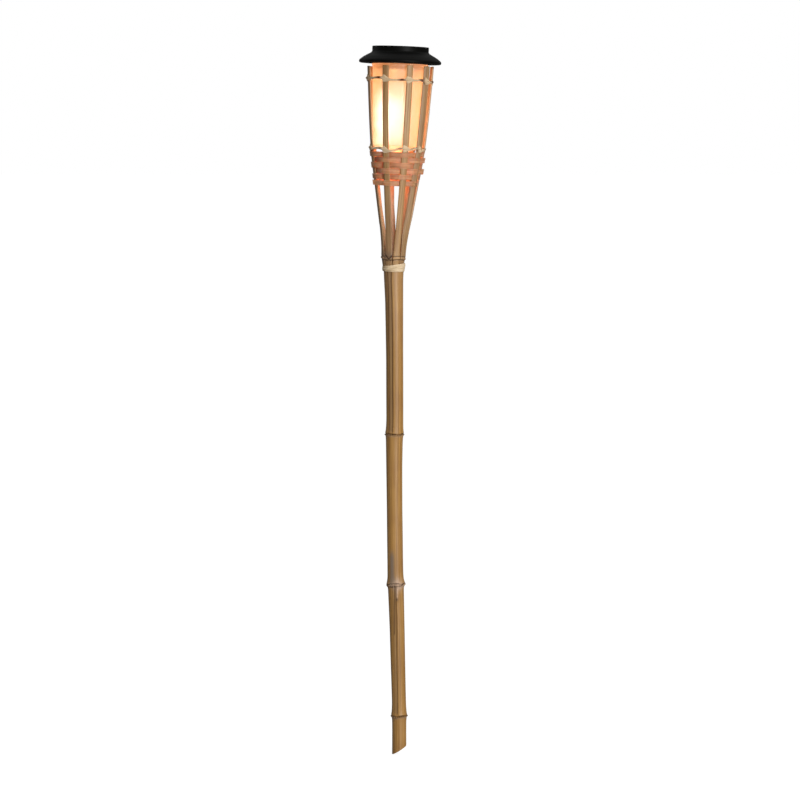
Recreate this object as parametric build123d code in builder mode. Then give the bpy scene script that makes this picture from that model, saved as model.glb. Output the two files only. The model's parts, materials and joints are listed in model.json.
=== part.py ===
"""Solar garden torch: a split bamboo culm whose eight staves hold a frosted lantern under a black solar cap.

Millimetres. Origin at the middle of the round stake section, +Z up the stake, -Y towards the front.
"""

from build123d import *
import os
from math import asin, cos, degrees, radians, sin

os.makedirs("parts", exist_ok=True)

# ---------------------------------------------------------------- driving dimensions
# Culm: the stake is a true cylinder, the rest follows a slightly crooked centreline.
stake_radius = 9.6
stake_length = 36.0
stake_point_drop = 13.0  # how far the slanted cut runs below the round section
wall = 3.4  # culm wall thickness
diaphragm = 3.0  # half thickness of the closed wall inside each joint of the culm

# (height, sideways offset, depth offset, radius) along the culm, between its joints
culm_stations = [
    (18.0, 0.0, 0.0, 9.6),
    (46.0, -0.4, 0.2, 10.1),
    (104.0, -1.9, 0.9, 10.3),
    (148.0, -2.9, 1.5, 10.55),
    (198.0, -4.4, 2.1, 11.2),
    (231.0, -5.5, 2.3, 11.2),
    (319.0, -6.5, 2.5, 10.95),
    (380.0, -7.0, 2.0, 11.4),
    (416.0, -6.9, 1.7, 11.9),
    (447.0, -6.2, 1.4, 11.85),
    (532.0, -6.4, 0.7, 12.05),
    (616.0, -7.1, 0.1, 12.65),
    (644.0, -7.8, 0.0, 13.3),
]
culm_joints = [24.7, 213.3, 426.9]  # heights of the three ringed joints
# Ring shape at a joint: (height from the joint, extra radius), scar ridge below and swelling above
ring_shape = [(-6.0, 0.0), (-1.8, 0.7), (0.0, 2.3), (1.2, 0.8), (3.2, 1.2), (11.0, 0.1)]
joint_clearance = (7.0, 12.0)  # stations this close below and above a joint give way to its ring

# Head: everything above the neck leans a little to the right of the stake.
neck = (-8.3, 0.0, 672.0)
lean = 2.0  # degrees
binding_low = -15.0  # heights from here on are measured from the neck along the head's axis
binding_high = -3.0
binding_radius = 14.4  # culm radius under the binding
binding_turns = 3
binding_rise = 1.7  # how far each turn of the binding stands out
crown_top = 10.0
crown_radius = 17.2
top_joint = 3.0
split_width = 0.8
split_depth = 7.0
split_low = -2.0

# Staves
stave_angles = [-72, -25, 18, 56, 98, 145, 193, 242]  # from the front, positive to the right
stave_width = 9.0
stave_thickness = 2.6
stave_top = 268.5
stave_foot_radius = 16.6
stave_bend_low = (17.0, 20.0)  # outer radius and height where the stave leaves the neck
stave_bend_high = (38.9, 156.0)  # and where the lower tie bends it
stave_top_radius = 46.6
stave_bend_radii = [90.0, 260.0]
stave_top_round = 1.2

# Weaving: six flat strips, and two ties of two strands each
strip_rows = 6
strip_top = 150.5
strip_pitch = 7.85
strip_height = 7.3
strip_thickness = 1.1
tie_heights = {"lower_tie": 155.0, "upper_tie": 250.0}
tie_strand_height = 2.0
tie_strand_gap = 0.4
tie_strand_thickness = 1.4
weave_clearance = 0.3
weave_bow = 0.4  # how much further out a strip stands where it passes over a stave

# Lantern
diffuser_low = 157.5
diffuser_bottom = 149.5  # lowest point of its domed bottom
dome_rise = diffuser_low - diffuser_bottom
diffuser_low_radius = 34.6
diffuser_high = 268.0
diffuser_high_radius = 38.0
diffuser_wall = 1.2
rim_high = 272.0
rim_radius = 38.9
rim_inner_radius = 36.6

# Cap
brim_edge_height = 5.5
cap_low = 272.5
cap_high = 296.0
brim_radius = 57.2
ring_low = 288.8
ring_radius = 39.3
ring_inner_radius = 36.4
shell_wall = 2.0
deck_high = 293.5
deck_low = deck_high - shell_wall
seat_height = 273.4  # face that the gasket is glued to
gasket_thickness = 1.1
eave_height = 283.0  # inner top of the hollow under the brim
crest_round = 0.7
skirt_radius = 35.9
skirt_inner_radius = 34.1
skirt_low = 264.0
base_low = 265.0
base_high = 267.0
base_radius = 33.9
screw_places = [(0.0, -28.0), (28.5, -3.0), (-28.5, -3.0), (0.0, 26.5)]
screw_radius = 1.2
screw_length = 11.0
screw_head = (2.4, 1.4)  # radius and height
screw_slot = (3.2, 0.6, 0.8)  # length, width and depth of its cross
boss_radius = 3.0

# Power parts inside the cap
panel_side = 50.0
panel_thickness = 1.7
seal_thickness = 0.4
seal_width = 3.0
panel_corner = 1.5
panel_wire_hole_radius = 1.2
panel_wire_places = [(-6.0, -4.0), (6.0, -4.0)]
battery_radius = 5.25
battery_length = 44.5
battery_nub = (1.9, 1.0)  # radius and length
contact_side = 8.0
contact_thickness = 0.5
spring_plate_thickness = 0.4
spring_coils = 3
spring_radius = 3.6
spring_taper = 0.7  # how much smaller each coil is than the last
spring_wire = 0.8
battery_y = 12.0
battery_z = 273.4
bay_length = 50.0
bay_width = 13.2
bay_height = 12.6
bay_wall = 1.3
board_size = (30.0, 18.0, 1.2)
board_centre = (0.0, -13.0, 271.0)
led_place = (-8.0, -8.0)
led_radius = 2.5
led_flange = (0.4, 1.2)  # how far it stands out, and its height
led_low = 261.0
switch_place = (9.0, -14.0)
switch_travel = 3.0
switch_case_size = (10.0, 5.4)
knob_size = (4.0, 2.0)
knob_clearance = 0.3
door_size = (50.4, 15.4, 1.4)
door_gap = 0.2
hinge_y = 3.4
hinge_z = 263.5
hinge_barrel_radius = 1.3
hinge_pin_radius = 0.8
hinge_clearance = 0.06
hinge_pin_length = 1.5
ear_length = 2.2
ear_width = 3.6
lug_size = (9.0, 1.4, 2.4)
wire_radius = 0.6
wire_bend = 1.8

# ---------------------------------------------------------------- frames
lean_sin, lean_cos = sin(radians(lean)), cos(radians(lean))
head = Plane(origin=neck, x_dir=(lean_cos, 0, -lean_sin), z_dir=(lean_sin, 0, lean_cos))
head_side = Plane(origin=neck, x_dir=head.x_dir, z_dir=(0, -1, 0))  # sketches here are (radius, height)
head_axis = Axis(neck, head.z_dir)


def keep(part, label):
    """Labels a finished sub-part and writes it to its own STEP file."""
    part.label = label
    export_step(part, f"parts/{label}.step")


def between(stations, height, column):
    """The value in a column of the culm's stations, interpolated at a height."""
    for low, high in zip(stations, stations[1:]):
        if low[0] <= height <= high[0]:
            share = (height - low[0]) / (high[0] - low[0])
            return low[column] + share * (high[column] - low[column])
    raise ValueError(f"no station at {height}")


def stave_radius(height):
    """Outer radius of the staves at a height, on straight lines between the bends."""
    outline = [(crown_top, stave_foot_radius), stave_bend_low[::-1], stave_bend_high[::-1]]
    outline.append((stave_top, stave_top_radius))
    return between(outline, height, 1)


# ---------------------------------------------------------------- culm
# Sections of the crooked part: the stations, plus the rings of each joint.
sections = []
for station in culm_stations:
    if all(not -joint_clearance[0] < station[0] - joint < joint_clearance[1] for joint in culm_joints):
        sections.append(station)
for joint in culm_joints:
    for rise, extra in ring_shape:
        place = [between(culm_stations, joint + rise, column) for column in (1, 2, 3)]
        sections.append((joint + rise, place[0], place[1], place[2] + extra))
sections.append((18.0, 0.0, 0.0, stake_radius))
sections.sort()

crown_sections = [(binding_low - 2.0, binding_radius), (binding_high + 1.0, binding_radius)]
crown_sections += [(top_joint - 2.0, 15.9), (top_joint, crown_radius), (top_joint + 1.4, 16.0)]
crown_sections += [(top_joint + 3.2, 16.9), (crown_top, stave_foot_radius)]

with BuildPart() as culm:
    with BuildSketch(Plane.XY.offset(-stake_length / 2)):
        Circle(stake_radius)
    extrude(amount=stake_length)
    # the point, shaved a little thinner and cut off at a slant that rises from left to right
    with BuildSketch(Plane.XY.offset(-stake_length / 2)):
        Circle(stake_radius)
    with BuildSketch(Plane.XY.offset(-stake_length / 2 - stake_point_drop)):
        Circle(stake_radius - 0.3)
    loft()
    with BuildSketch(Plane.XZ):
        with BuildLine():
            Polyline(
                (-stake_radius, -stake_length / 2 - stake_point_drop),
                (stake_radius, -stake_length / 2),
                (stake_radius, -stake_length - stake_point_drop),
                (-stake_radius, -stake_length - stake_point_drop),
                close=True,
            )
        make_face()
    extrude(amount=stake_radius + 5, both=True, mode=Mode.SUBTRACT)
    # the crooked length, joint rings included
    for height, side, depth, radius in sections:
        with BuildSketch(Plane((side, depth, height))):
            Circle(radius)
    with BuildSketch(head.offset(crown_sections[0][0])):
        Circle(crown_sections[0][1])
    loft(ruled=True)
    # the crown that the staves were split from
    for height, radius in crown_sections:
        with BuildSketch(head.offset(height)):
            Circle(radius)
    loft(ruled=True)
    # hollow lengths between the closed joints
    hollow_ends = culm_joints + [neck[2] + top_joint]
    for low, high in zip(hollow_ends, hollow_ends[1:]):
        heights = [low + diaphragm]
        bore_low, bore_high = low + joint_clearance[1], high - 2 * joint_clearance[0]
        heights += [station[0] for station in culm_stations if bore_low < station[0] < bore_high]
        for height in heights:
            place = [between(culm_stations, height, column) for column in (1, 2, 3)]
            with BuildSketch(Plane((place[0], place[1], height))):
                Circle(place[2] - wall)
        if high > culm_joints[-1]:
            with BuildSketch(head.offset(top_joint - diaphragm)):
                Circle(binding_radius - wall)
        else:
            place = [between(culm_stations, high - diaphragm, column) for column in (1, 2, 3)]
            with BuildSketch(Plane((place[0], place[1], high - diaphragm))):
                Circle(place[2] - wall)
        loft(ruled=True, mode=Mode.SUBTRACT)
    with BuildSketch(Plane.XY.offset(-stake_length / 2 - stake_point_drop)):
        Circle(stake_radius - wall)
    extrude(amount=stake_length + stake_point_drop + culm_joints[0] - 18.0 - diaphragm, mode=Mode.SUBTRACT)
    with BuildSketch(head.offset(top_joint + diaphragm)):
        Circle(stave_foot_radius - stave_thickness - 0.6)
    extrude(amount=crown_top, mode=Mode.SUBTRACT)
    # splits between the staves, sawn down through the top joint
    for left, right in zip(stave_angles, stave_angles[1:] + [stave_angles[0] + 360]):
        middle = radians((left + right) / 2)
        with BuildSketch(head.offset(split_low)):
            split_place = (binding_radius * sin(middle), -binding_radius * cos(middle))
            with Locations(Location(split_place, degrees(middle))):
                Rectangle(split_width, split_depth)
        extrude(amount=crown_top - 2 * split_low, mode=Mode.SUBTRACT)
keep(culm.part, "culm")

# ---------------------------------------------------------------- staves
for number, angle in enumerate(stave_angles, start=1):
    turn = radians(angle)
    outwards = head.x_dir * sin(turn) - head.y_dir * cos(turn)
    across = head.x_dir * cos(turn) + head.y_dir * sin(turn)
    stave_plane = Plane(origin=neck, x_dir=outwards, z_dir=-across)
    with BuildPart() as stave:
        with BuildSketch(stave_plane):
            with BuildLine():
                bends = [(stave_foot_radius, crown_top), stave_bend_low, stave_bend_high]
                bends.append((stave_top_radius, stave_top))
                outer = FilletPolyline(*bends, radius=stave_bend_radii)
                inner = FilletPolyline(*[(r - stave_thickness, z) for r, z in bends], radius=stave_bend_radii)
                Line(outer @ 0, inner @ 0)
                Line(outer @ 1, inner @ 1)
            make_face()
        extrude(amount=stave_width / 2, both=True)
        fillet(stave.edges().sort_by(head_axis)[-4:].filter_by(Axis(neck, outwards)), radius=stave_top_round)
    keep(stave.part, f"stave_{number}")


# ---------------------------------------------------------------- woven strips and ties
def woven_ring(low, high, parity, thickness):
    """A closed ribbon between two heights that passes outside every second stave and inside the others."""
    middle = stave_radius((low + high) / 2)
    half_turn = degrees(asin((stave_width / 2 + 0.7) / middle))
    with BuildPart() as ring:
        for inset, mode in ((0.0, Mode.ADD), (thickness, Mode.SUBTRACT)):
            for height in (low, high):
                corners = []
                for place, angle in enumerate(stave_angles):
                    if place % 2 == parity:
                        at = middle + weave_clearance + weave_bow + thickness - inset
                    else:
                        at = middle - stave_thickness - weave_clearance - inset
                    at *= stave_radius(height) / middle
                    for turn in (radians(angle - half_turn), radians(angle + half_turn)):
                        corners.append((at * sin(turn), -at * cos(turn)))
                with BuildSketch(head.offset(height)):
                    with BuildLine():
                        Polyline(*corners, close=True)
                    make_face()
            loft(ruled=True, mode=mode)
    return ring.part


for row in range(strip_rows):
    high = strip_top - row * strip_pitch
    keep(woven_ring(high - strip_height, high, row % 2, strip_thickness), f"weave_strip_{row + 1}")

for tie, height in tie_heights.items():
    for strand, parity, side in (("a", 0, 1), ("b", 1, -1)):
        middle = height + side * (tie_strand_height + tie_strand_gap) / 2
        half = tie_strand_height / 2
        keep(woven_ring(middle - half, middle + half, parity, tie_strand_thickness), f"{tie}_strand_{strand}")

# ---------------------------------------------------------------- neck binding
with BuildPart() as neck_binding:
    turn_height = (binding_high - binding_low) / binding_turns
    with BuildSketch(head_side):
        with BuildLine():
            inside = binding_radius + 0.05
            valley, peak = inside + 0.6 * binding_rise, inside + binding_rise
            Polyline(
                (valley, binding_high),
                (inside, binding_high),
                (inside, binding_low),
                (valley, binding_low),
            )
            for turn in range(binding_turns):
                low = binding_low + turn * turn_height
                ThreePointArc((valley, low), (peak, low + turn_height / 2), (valley, low + turn_height))
        make_face()
    revolve(axis=head_axis)
keep(neck_binding.part, "neck_binding")

# ---------------------------------------------------------------- diffuser
with BuildPart() as diffuser:
    with BuildSketch(head_side):
        with BuildLine():
            # the bottom is a shallow dome: its height grows with the square of the radius
            shoulder = diffuser_low_radius - 1.5
            shares = (0.3, 0.6, 0.8, 1.0)
            dome = [(shoulder * share, diffuser_bottom + dome_rise * share**2) for share in shares]
            inner_dome = [(radius, height + diffuser_wall) for radius, height in dome]
            Polyline(
                (0, dome[0][1]),
                *dome,
                (diffuser_low_radius, diffuser_low + 1.5),
                (diffuser_high_radius, diffuser_high),
                (rim_radius, diffuser_high + 0.8),
                (rim_radius, rim_high),
                (rim_inner_radius, rim_high),
                (diffuser_high_radius - diffuser_wall, diffuser_high - 2.0),
                (diffuser_low_radius - diffuser_wall, diffuser_low + 2.4),
                *inner_dome[::-1],
                (0, inner_dome[0][1]),
                close=True,
            )
        make_face()
    revolve(axis=head_axis)
keep(diffuser.part, "diffuser")

# ---------------------------------------------------------------- cap shell
with BuildPart() as cap_shell:
    with BuildSketch(head_side):
        with BuildLine():
            slope = Spline(
                (ring_radius, ring_low),
                (ring_radius + 3.4, ring_low - 2.9),
                (brim_radius - 1.9, cap_low + brim_edge_height),
                tangents=((0.55, -1.0), (1.0, -0.85)),
            )
            lip = ThreePointArc(slope @ 1, (brim_radius, cap_low + 2.5), (brim_radius - 1.9, cap_low))
            Polyline(
                lip @ 1,
                (brim_radius - 3.8, cap_low + 0.4),
                (ring_radius + 1.6, eave_height),
                (rim_radius + 0.4, eave_height),
                (rim_radius + 0.4, seat_height),
                (skirt_radius, seat_height),
                (skirt_radius, skirt_low),
                (skirt_inner_radius, skirt_low),
                (skirt_inner_radius, deck_low),
                (0, deck_low),
                (0, deck_high),
                (ring_inner_radius, deck_high),
                (ring_inner_radius, cap_high - crest_round),
                (ring_inner_radius + crest_round, cap_high),
            )
            crest = ThreePointArc(
                (ring_inner_radius + crest_round, cap_high),
                (ring_radius - 0.9, cap_high - 0.5),
                (ring_radius, cap_high - 2 * crest_round),
            )
            Line(crest @ 1, (ring_radius, ring_low))
        make_face()
    revolve(axis=head_axis)
    # bosses for the base screws
    with BuildSketch(head.offset(base_high)):
        with Locations(*screw_places):
            Circle(boss_radius)
            Circle(screw_radius + 0.05, mode=Mode.SUBTRACT)
    extrude(amount=deck_low - base_high)
    # passage for the panel's two wires
    with BuildSketch(head.offset(deck_low)):
        with Locations(*panel_wire_places):
            Circle(panel_wire_hole_radius)
    extrude(amount=shell_wall, mode=Mode.SUBTRACT)
keep(cap_shell.part, "cap_shell")

with BuildPart() as rim_gasket:
    with BuildSketch(head.offset(seat_height - gasket_thickness)):
        Circle(rim_radius - 0.1)
        Circle(rim_inner_radius - 0.2, mode=Mode.SUBTRACT)
    extrude(amount=gasket_thickness)
keep(rim_gasket.part, "rim_gasket")

# ---------------------------------------------------------------- solar panel
with BuildPart() as panel_seal:
    seal_side = panel_side - 1.0
    with BuildSketch(head.offset(deck_high)):
        Rectangle(seal_side, seal_side)
        Rectangle(seal_side - 2 * seal_width, seal_side - 2 * seal_width, mode=Mode.SUBTRACT)
    extrude(amount=seal_thickness)
keep(panel_seal.part, "panel_seal")

with BuildPart() as solar_panel:
    with BuildSketch(head.offset(deck_high + seal_thickness)):
        Rectangle(panel_side, panel_side)
    extrude(amount=panel_thickness)
    chamfer(solar_panel.edges().filter_by(Axis(neck, head.z_dir)), length=panel_corner)
keep(solar_panel.part, "solar_panel")

# ---------------------------------------------------------------- base plate, its screws and its ears
ear_start = door_size[0] / 2 + door_gap
slot_size = (knob_size[0] + switch_travel + 2 * knob_clearance, knob_size[1] + 2 * knob_clearance)
with BuildPart() as base_plate:
    with BuildSketch(head.offset(base_low)):
        Circle(base_radius)
        with Locations((0, battery_y)):
            Rectangle(bay_length - 2.0, bay_width - 2.0, mode=Mode.SUBTRACT)  # battery opening
        with Locations(*screw_places):
            Circle(screw_radius + 0.2, mode=Mode.SUBTRACT)
        with Locations(led_place):
            Circle(led_radius + 0.2, mode=Mode.SUBTRACT)
        with Locations(switch_place):
            Rectangle(*slot_size, mode=Mode.SUBTRACT)
    extrude(amount=base_high - base_low)
    for side in (-1, 1):
        with BuildSketch(head.offset(base_low)):
            with Locations((side * (ear_start + ear_length / 2), hinge_y)):
                Rectangle(ear_length, ear_width)
        extrude(amount=hinge_z - ear_width / 2 - base_low)
    # pockets for the door's two pins
    pocket_end = ear_start + hinge_pin_length + 0.1
    pocket_start = head.from_local_coords((-pocket_end, hinge_y, hinge_z))
    with BuildSketch(Plane(pocket_start, z_dir=head.x_dir)):
        Circle(hinge_pin_radius + hinge_clearance)
    extrude(amount=2 * pocket_end, mode=Mode.SUBTRACT)
keep(base_plate.part, "base_plate")

with BuildPart() as base_screws:
    with BuildSketch(head.offset(base_low - screw_head[1])):
        with Locations(*screw_places):
            Circle(screw_head[0])
    extrude(amount=screw_head[1])
    with BuildSketch(head.offset(base_low - screw_head[1])):
        with Locations(*screw_places):
            Rectangle(screw_slot[0], screw_slot[1])
            Rectangle(screw_slot[1], screw_slot[0])
    extrude(amount=screw_slot[2], mode=Mode.SUBTRACT)
    with BuildSketch(head.offset(base_low)):
        with Locations(*screw_places):
            Circle(screw_radius)
    extrude(amount=screw_length)
keep(base_screws.part, "base_screws")

# ---------------------------------------------------------------- battery, its bay, contacts and door
with BuildPart() as battery_bay:
    with BuildSketch(head.offset(base_high)):
        with Locations((0, battery_y)):
            Rectangle(bay_length + 2 * bay_wall, bay_width + 2 * bay_wall)
    extrude(amount=bay_height + bay_wall)
    with BuildSketch(head.offset(base_high)):
        with Locations((0, battery_y)):
            Rectangle(bay_length, bay_width)
    extrude(amount=bay_height, mode=Mode.SUBTRACT)
keep(battery_bay.part, "battery_bay")

battery_start = head.from_local_coords((-battery_length / 2 + 0.6, battery_y, battery_z))
with BuildPart() as battery:
    with BuildSketch(Plane(battery_start, z_dir=head.x_dir)):
        Circle(battery_radius)
    extrude(amount=battery_length - battery_nub[1])
    with BuildSketch(Plane(battery_start, z_dir=head.x_dir).offset(battery_length - battery_nub[1])):
        Circle(battery_nub[0])
    extrude(amount=battery_nub[1])
keep(battery.part, "battery")

contact_start = head.from_local_coords((bay_length / 2 - contact_thickness, battery_y, battery_z))
with BuildPart() as battery_contact:
    with BuildSketch(Plane(contact_start, z_dir=head.x_dir)):
        Rectangle(contact_side, contact_side)
    extrude(amount=contact_thickness)
keep(battery_contact.part, "battery_contact")

spring_start = Plane(head.from_local_coords((-bay_length / 2, battery_y, battery_z)), z_dir=head.x_dir)
with BuildPart() as battery_spring:
    with BuildSketch(spring_start):
        Rectangle(contact_side, contact_side)
    extrude(amount=spring_plate_thickness)
    for coil in range(spring_coils):
        with BuildSketch(spring_start.offset(spring_plate_thickness + coil * spring_wire)):
            Circle(spring_radius - spring_taper * coil)
            Circle(spring_radius - spring_wire - spring_taper * coil, mode=Mode.SUBTRACT)
        extrude(amount=spring_wire)
keep(battery_spring.part, "battery_spring")

with BuildPart() as battery_door:
    door_low = base_low - door_gap - door_size[2]
    with BuildSketch(head.offset(door_low)):
        with Locations((0, hinge_y + door_size[1] / 2)):
            Rectangle(door_size[0], door_size[1])
    extrude(amount=door_size[2])
    barrel_start = Plane(head.from_local_coords((-door_size[0] / 2, hinge_y, hinge_z)), z_dir=head.x_dir)
    with BuildSketch(barrel_start):
        Circle(hinge_barrel_radius)
    extrude(amount=door_size[0])
    # pins at both ends of the barrel
    with BuildSketch(barrel_start.offset(-hinge_pin_length)):
        Circle(hinge_pin_radius)
    extrude(amount=door_size[0] + 2 * hinge_pin_length)
    # finger lug
    with BuildSketch(head.offset(door_low - lug_size[2])):
        with Locations((0, hinge_y + door_size[1] - 0.8)):
            Rectangle(lug_size[0], lug_size[1])
    extrude(amount=lug_size[2])
keep(battery_door.part, "battery_door")

# ---------------------------------------------------------------- circuit board, LED and switch
with BuildPart() as circuit_board:
    with BuildSketch(head.offset(board_centre[2])):
        with Locations(board_centre[:2]):
            Rectangle(board_size[0], board_size[1])
    extrude(amount=board_size[2])
    # driver chip, coil and capacitor on its top face
    with BuildSketch(head.offset(board_centre[2] + board_size[2])):
        with Locations((-4.0, -13.0)):
            Rectangle(5.0, 4.0)
    extrude(amount=1.5)
    with BuildSketch(head.offset(board_centre[2] + board_size[2])):
        with Locations((4.0, -14.0)):
            Circle(3.0)
    extrude(amount=4.0)
    with BuildSketch(head.offset(board_centre[2] + board_size[2])):
        with Locations((10.5, -10.0)):
            Circle(2.0)
    extrude(amount=6.0)
keep(circuit_board.part, "circuit_board")

led_axis = Axis(head.from_local_coords((led_place[0], led_place[1], 0)), head.z_dir)
with BuildPart() as led:
    with BuildSketch(Plane(origin=led_axis.position, x_dir=head.x_dir, z_dir=(0, -1, 0))):
        with BuildLine():
            stem = Polyline(
                (0, led_low),
                (0, board_centre[2]),
                (led_radius + led_flange[0], board_centre[2]),
                (led_radius + led_flange[0], board_centre[2] - led_flange[1]),
                (led_radius, board_centre[2] - led_flange[1]),
                (led_radius, led_low + led_radius),
            )
            RadiusArc(stem @ 1, stem @ 0, led_radius)
        make_face()
    revolve(axis=led_axis)
keep(led.part, "led")

with BuildPart() as switch_case:
    with BuildSketch(head.offset(base_high + 0.4)):
        with Locations(switch_place):
            Rectangle(*switch_case_size)
            Rectangle(*slot_size, mode=Mode.SUBTRACT)
    extrude(amount=board_centre[2] - base_high - 0.4)
keep(switch_case.part, "switch_case")

with BuildPart() as switch_knob:
    with BuildSketch(head.offset(base_low - 2.0)):
        with Locations((switch_place[0] - switch_travel / 2, switch_place[1])):
            Rectangle(*knob_size)
    extrude(amount=board_centre[2] - 0.6 - base_low + 2.0)
keep(switch_knob.part, "switch_knob")


# ---------------------------------------------------------------- wires inside the cap
def wire(label, *points):
    """A wire as straight runs joined by tangent arcs, through points in the head's frame."""
    with BuildPart() as lead:
        with BuildLine():
            route = FilletPolyline(*[head.from_local_coords(p) for p in points], radius=wire_bend)
        with BuildSketch(Plane(route @ 0, z_dir=route % 0)):
            Circle(wire_radius)
        sweep(path=route)
    keep(lead.part, label)


board_top = board_centre[2] + board_size[2]
panel_underside = deck_high + seal_thickness
for label, side in (("panel_wire_red", -1), ("panel_wire_black", 1)):
    wire(
        label,
        (side * 6.0, -4.0, panel_underside),
        (side * 6.0, -4.0, deck_low - 5.0),
        (side * 12.5, -7.0, deck_low - 7.0),
        (side * 12.5, -7.0, board_top),
    )
bay_end = bay_length / 2 + bay_wall
for label, side in (("battery_wire_red", 1), ("battery_wire_black", -1)):
    wire(
        label,
        (side * bay_end, battery_y, battery_z),
        (side * (bay_end + 3.0), battery_y, battery_z),
        (side * (bay_end + 3.0), battery_y - 8.4, battery_z + 3.0),
        (side * 21.5, -2.0, battery_z + 5.0),
        (side * 13.5, -19.0, battery_z + 5.0),
        (side * 13.5, -19.0, board_top),
    )
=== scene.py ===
"""Looks of the solar bamboo torch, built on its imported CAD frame.

Metres, in the frame's own axes: +Z up the stake, -Y towards the front, +X to the right.
"""

import json
from math import pi, radians

import bpy
import numpy as np
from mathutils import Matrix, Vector

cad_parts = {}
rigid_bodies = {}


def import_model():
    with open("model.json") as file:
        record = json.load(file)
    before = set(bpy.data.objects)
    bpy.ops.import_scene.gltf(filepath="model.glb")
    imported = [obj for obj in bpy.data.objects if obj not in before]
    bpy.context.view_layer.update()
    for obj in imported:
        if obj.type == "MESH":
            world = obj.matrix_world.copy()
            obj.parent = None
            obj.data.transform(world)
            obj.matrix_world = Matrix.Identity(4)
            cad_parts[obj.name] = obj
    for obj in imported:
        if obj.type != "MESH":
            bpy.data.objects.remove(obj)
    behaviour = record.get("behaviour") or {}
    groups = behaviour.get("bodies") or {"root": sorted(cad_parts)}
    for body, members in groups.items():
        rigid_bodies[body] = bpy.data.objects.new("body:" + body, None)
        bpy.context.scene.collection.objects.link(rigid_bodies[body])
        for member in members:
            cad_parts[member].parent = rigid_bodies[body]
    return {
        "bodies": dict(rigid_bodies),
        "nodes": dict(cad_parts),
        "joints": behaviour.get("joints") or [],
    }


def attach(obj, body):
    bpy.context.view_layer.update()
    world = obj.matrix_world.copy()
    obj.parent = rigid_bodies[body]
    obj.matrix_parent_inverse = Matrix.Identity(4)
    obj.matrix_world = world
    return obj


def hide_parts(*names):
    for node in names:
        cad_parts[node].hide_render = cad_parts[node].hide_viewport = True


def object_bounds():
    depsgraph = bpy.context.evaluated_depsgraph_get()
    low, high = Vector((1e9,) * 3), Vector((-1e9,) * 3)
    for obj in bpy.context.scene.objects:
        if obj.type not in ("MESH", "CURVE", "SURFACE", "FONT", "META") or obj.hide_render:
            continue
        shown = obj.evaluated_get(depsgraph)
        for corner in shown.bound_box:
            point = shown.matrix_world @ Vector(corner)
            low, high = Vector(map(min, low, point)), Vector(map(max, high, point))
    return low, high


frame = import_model()
cad_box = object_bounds()
mm = 0.001

# ---------------------------------------------------------------- floor, light and camera
# A plain white studio: a wide matt floor at the stake's point, a tall soft light to the right of the camera,
# a weak one at the back on the left, and a sky that is bright above and dim at the sides. The camera itself
# sees floor and sky evenly white.


def linear(code, alpha=1.0):
    """The linear colour of an sRGB hex code, with its alpha."""
    channels = np.array([int(code[i : i + 2], 16) for i in (1, 3, 5)]) / 255
    channels = np.where(channels <= 0.04045, channels / 12.92, ((channels + 0.055) / 1.055) ** 2.4)
    return (*channels.tolist(), alpha)


def add(tree, kind, inputs=None, stops=None, **settings):
    """A node of a kind, with its settings and links.

    inputs holds values, or sockets to link, by input name or number. stops fill a colour ramp.
    """
    node = tree.nodes.new("ShaderNode" + kind)
    for setting, value in settings.items():
        setattr(node, setting, value)
    for socket, value in (inputs or {}).items():
        if isinstance(value, bpy.types.NodeSocket):
            tree.links.new(value, node.inputs[socket])
        else:
            node.inputs[socket].default_value = value
    for place, (position, colour) in enumerate(stops or []):
        while len(node.color_ramp.elements) <= place:
            node.color_ramp.elements.new(position)
        node.color_ramp.elements[place].position = position
        node.color_ramp.elements[place].color = linear(colour)
    return node


studio = bpy.data.worlds.new("studio")
studio.use_nodes = True
sky = studio.node_tree
sky.nodes.clear()
direction = add(sky, "TexCoord").outputs["Generated"]
height = add(sky, "SeparateXYZ", {0: direction}).outputs["Z"]
dim_side, bright_top = 0.07, 0.6
sky_range = {"Value": height, "From Min": 0.1, "From Max": 0.9, "To Min": dim_side, "To Max": bright_top}
above = add(sky, "MapRange", sky_range)
seen = add(sky, "LightPath").outputs["Is Camera Ray"]
strength = add(sky, "Mix", {0: seen, 2: above.outputs[0], 3: 1.0}, data_type="FLOAT")
glow = add(sky, "Background", {"Color": linear("#ffffff"), "Strength": strength.outputs[0]})
add(sky, "OutputWorld", {"Surface": glow.outputs[0]})
bpy.context.scene.world = studio
bpy.context.scene.view_settings.view_transform = "Standard"

floor_mesh = bpy.data.meshes.new("floor")
floor_half, floor_level = 60.0, cad_box[0].z
corners = [(x * floor_half, y * floor_half, floor_level) for x, y in ((-1, -1), (1, -1), (1, 1), (-1, 1))]
floor_mesh.from_pydata(corners, [], [(0, 1, 2, 3)])
floor = bpy.data.objects.new("floor", floor_mesh)
bpy.context.scene.collection.objects.link(floor)
# Matt white paint has no gloss, so it gives the eye no floor line and only a faint shadow.
matt_white = bpy.data.materials.new("matt_white_paint")
matt_white.use_nodes = True
tree = matt_white.node_tree
tree.nodes.clear()
matt = add(tree, "BsdfDiffuse", {"Color": linear("#8f8f8f")})
lift = add(tree, "LightPath").outputs["Is Camera Ray"]
seen_white = 0.89
lifted = add(tree, "Emission", {"Color": linear("#ffffff"), "Strength": seen_white})
none = add(tree, "Emission", {"Strength": 0.0})
only_seen = add(tree, "MixShader", {0: lift, 1: none.outputs[0], 2: lifted.outputs[0]})
both = add(tree, "AddShader", {0: matt.outputs[0], 1: only_seen.outputs[0]})
add(tree, "OutputMaterial", {"Surface": both.outputs[0]})
floor_mesh.materials.append(matt_white)


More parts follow.
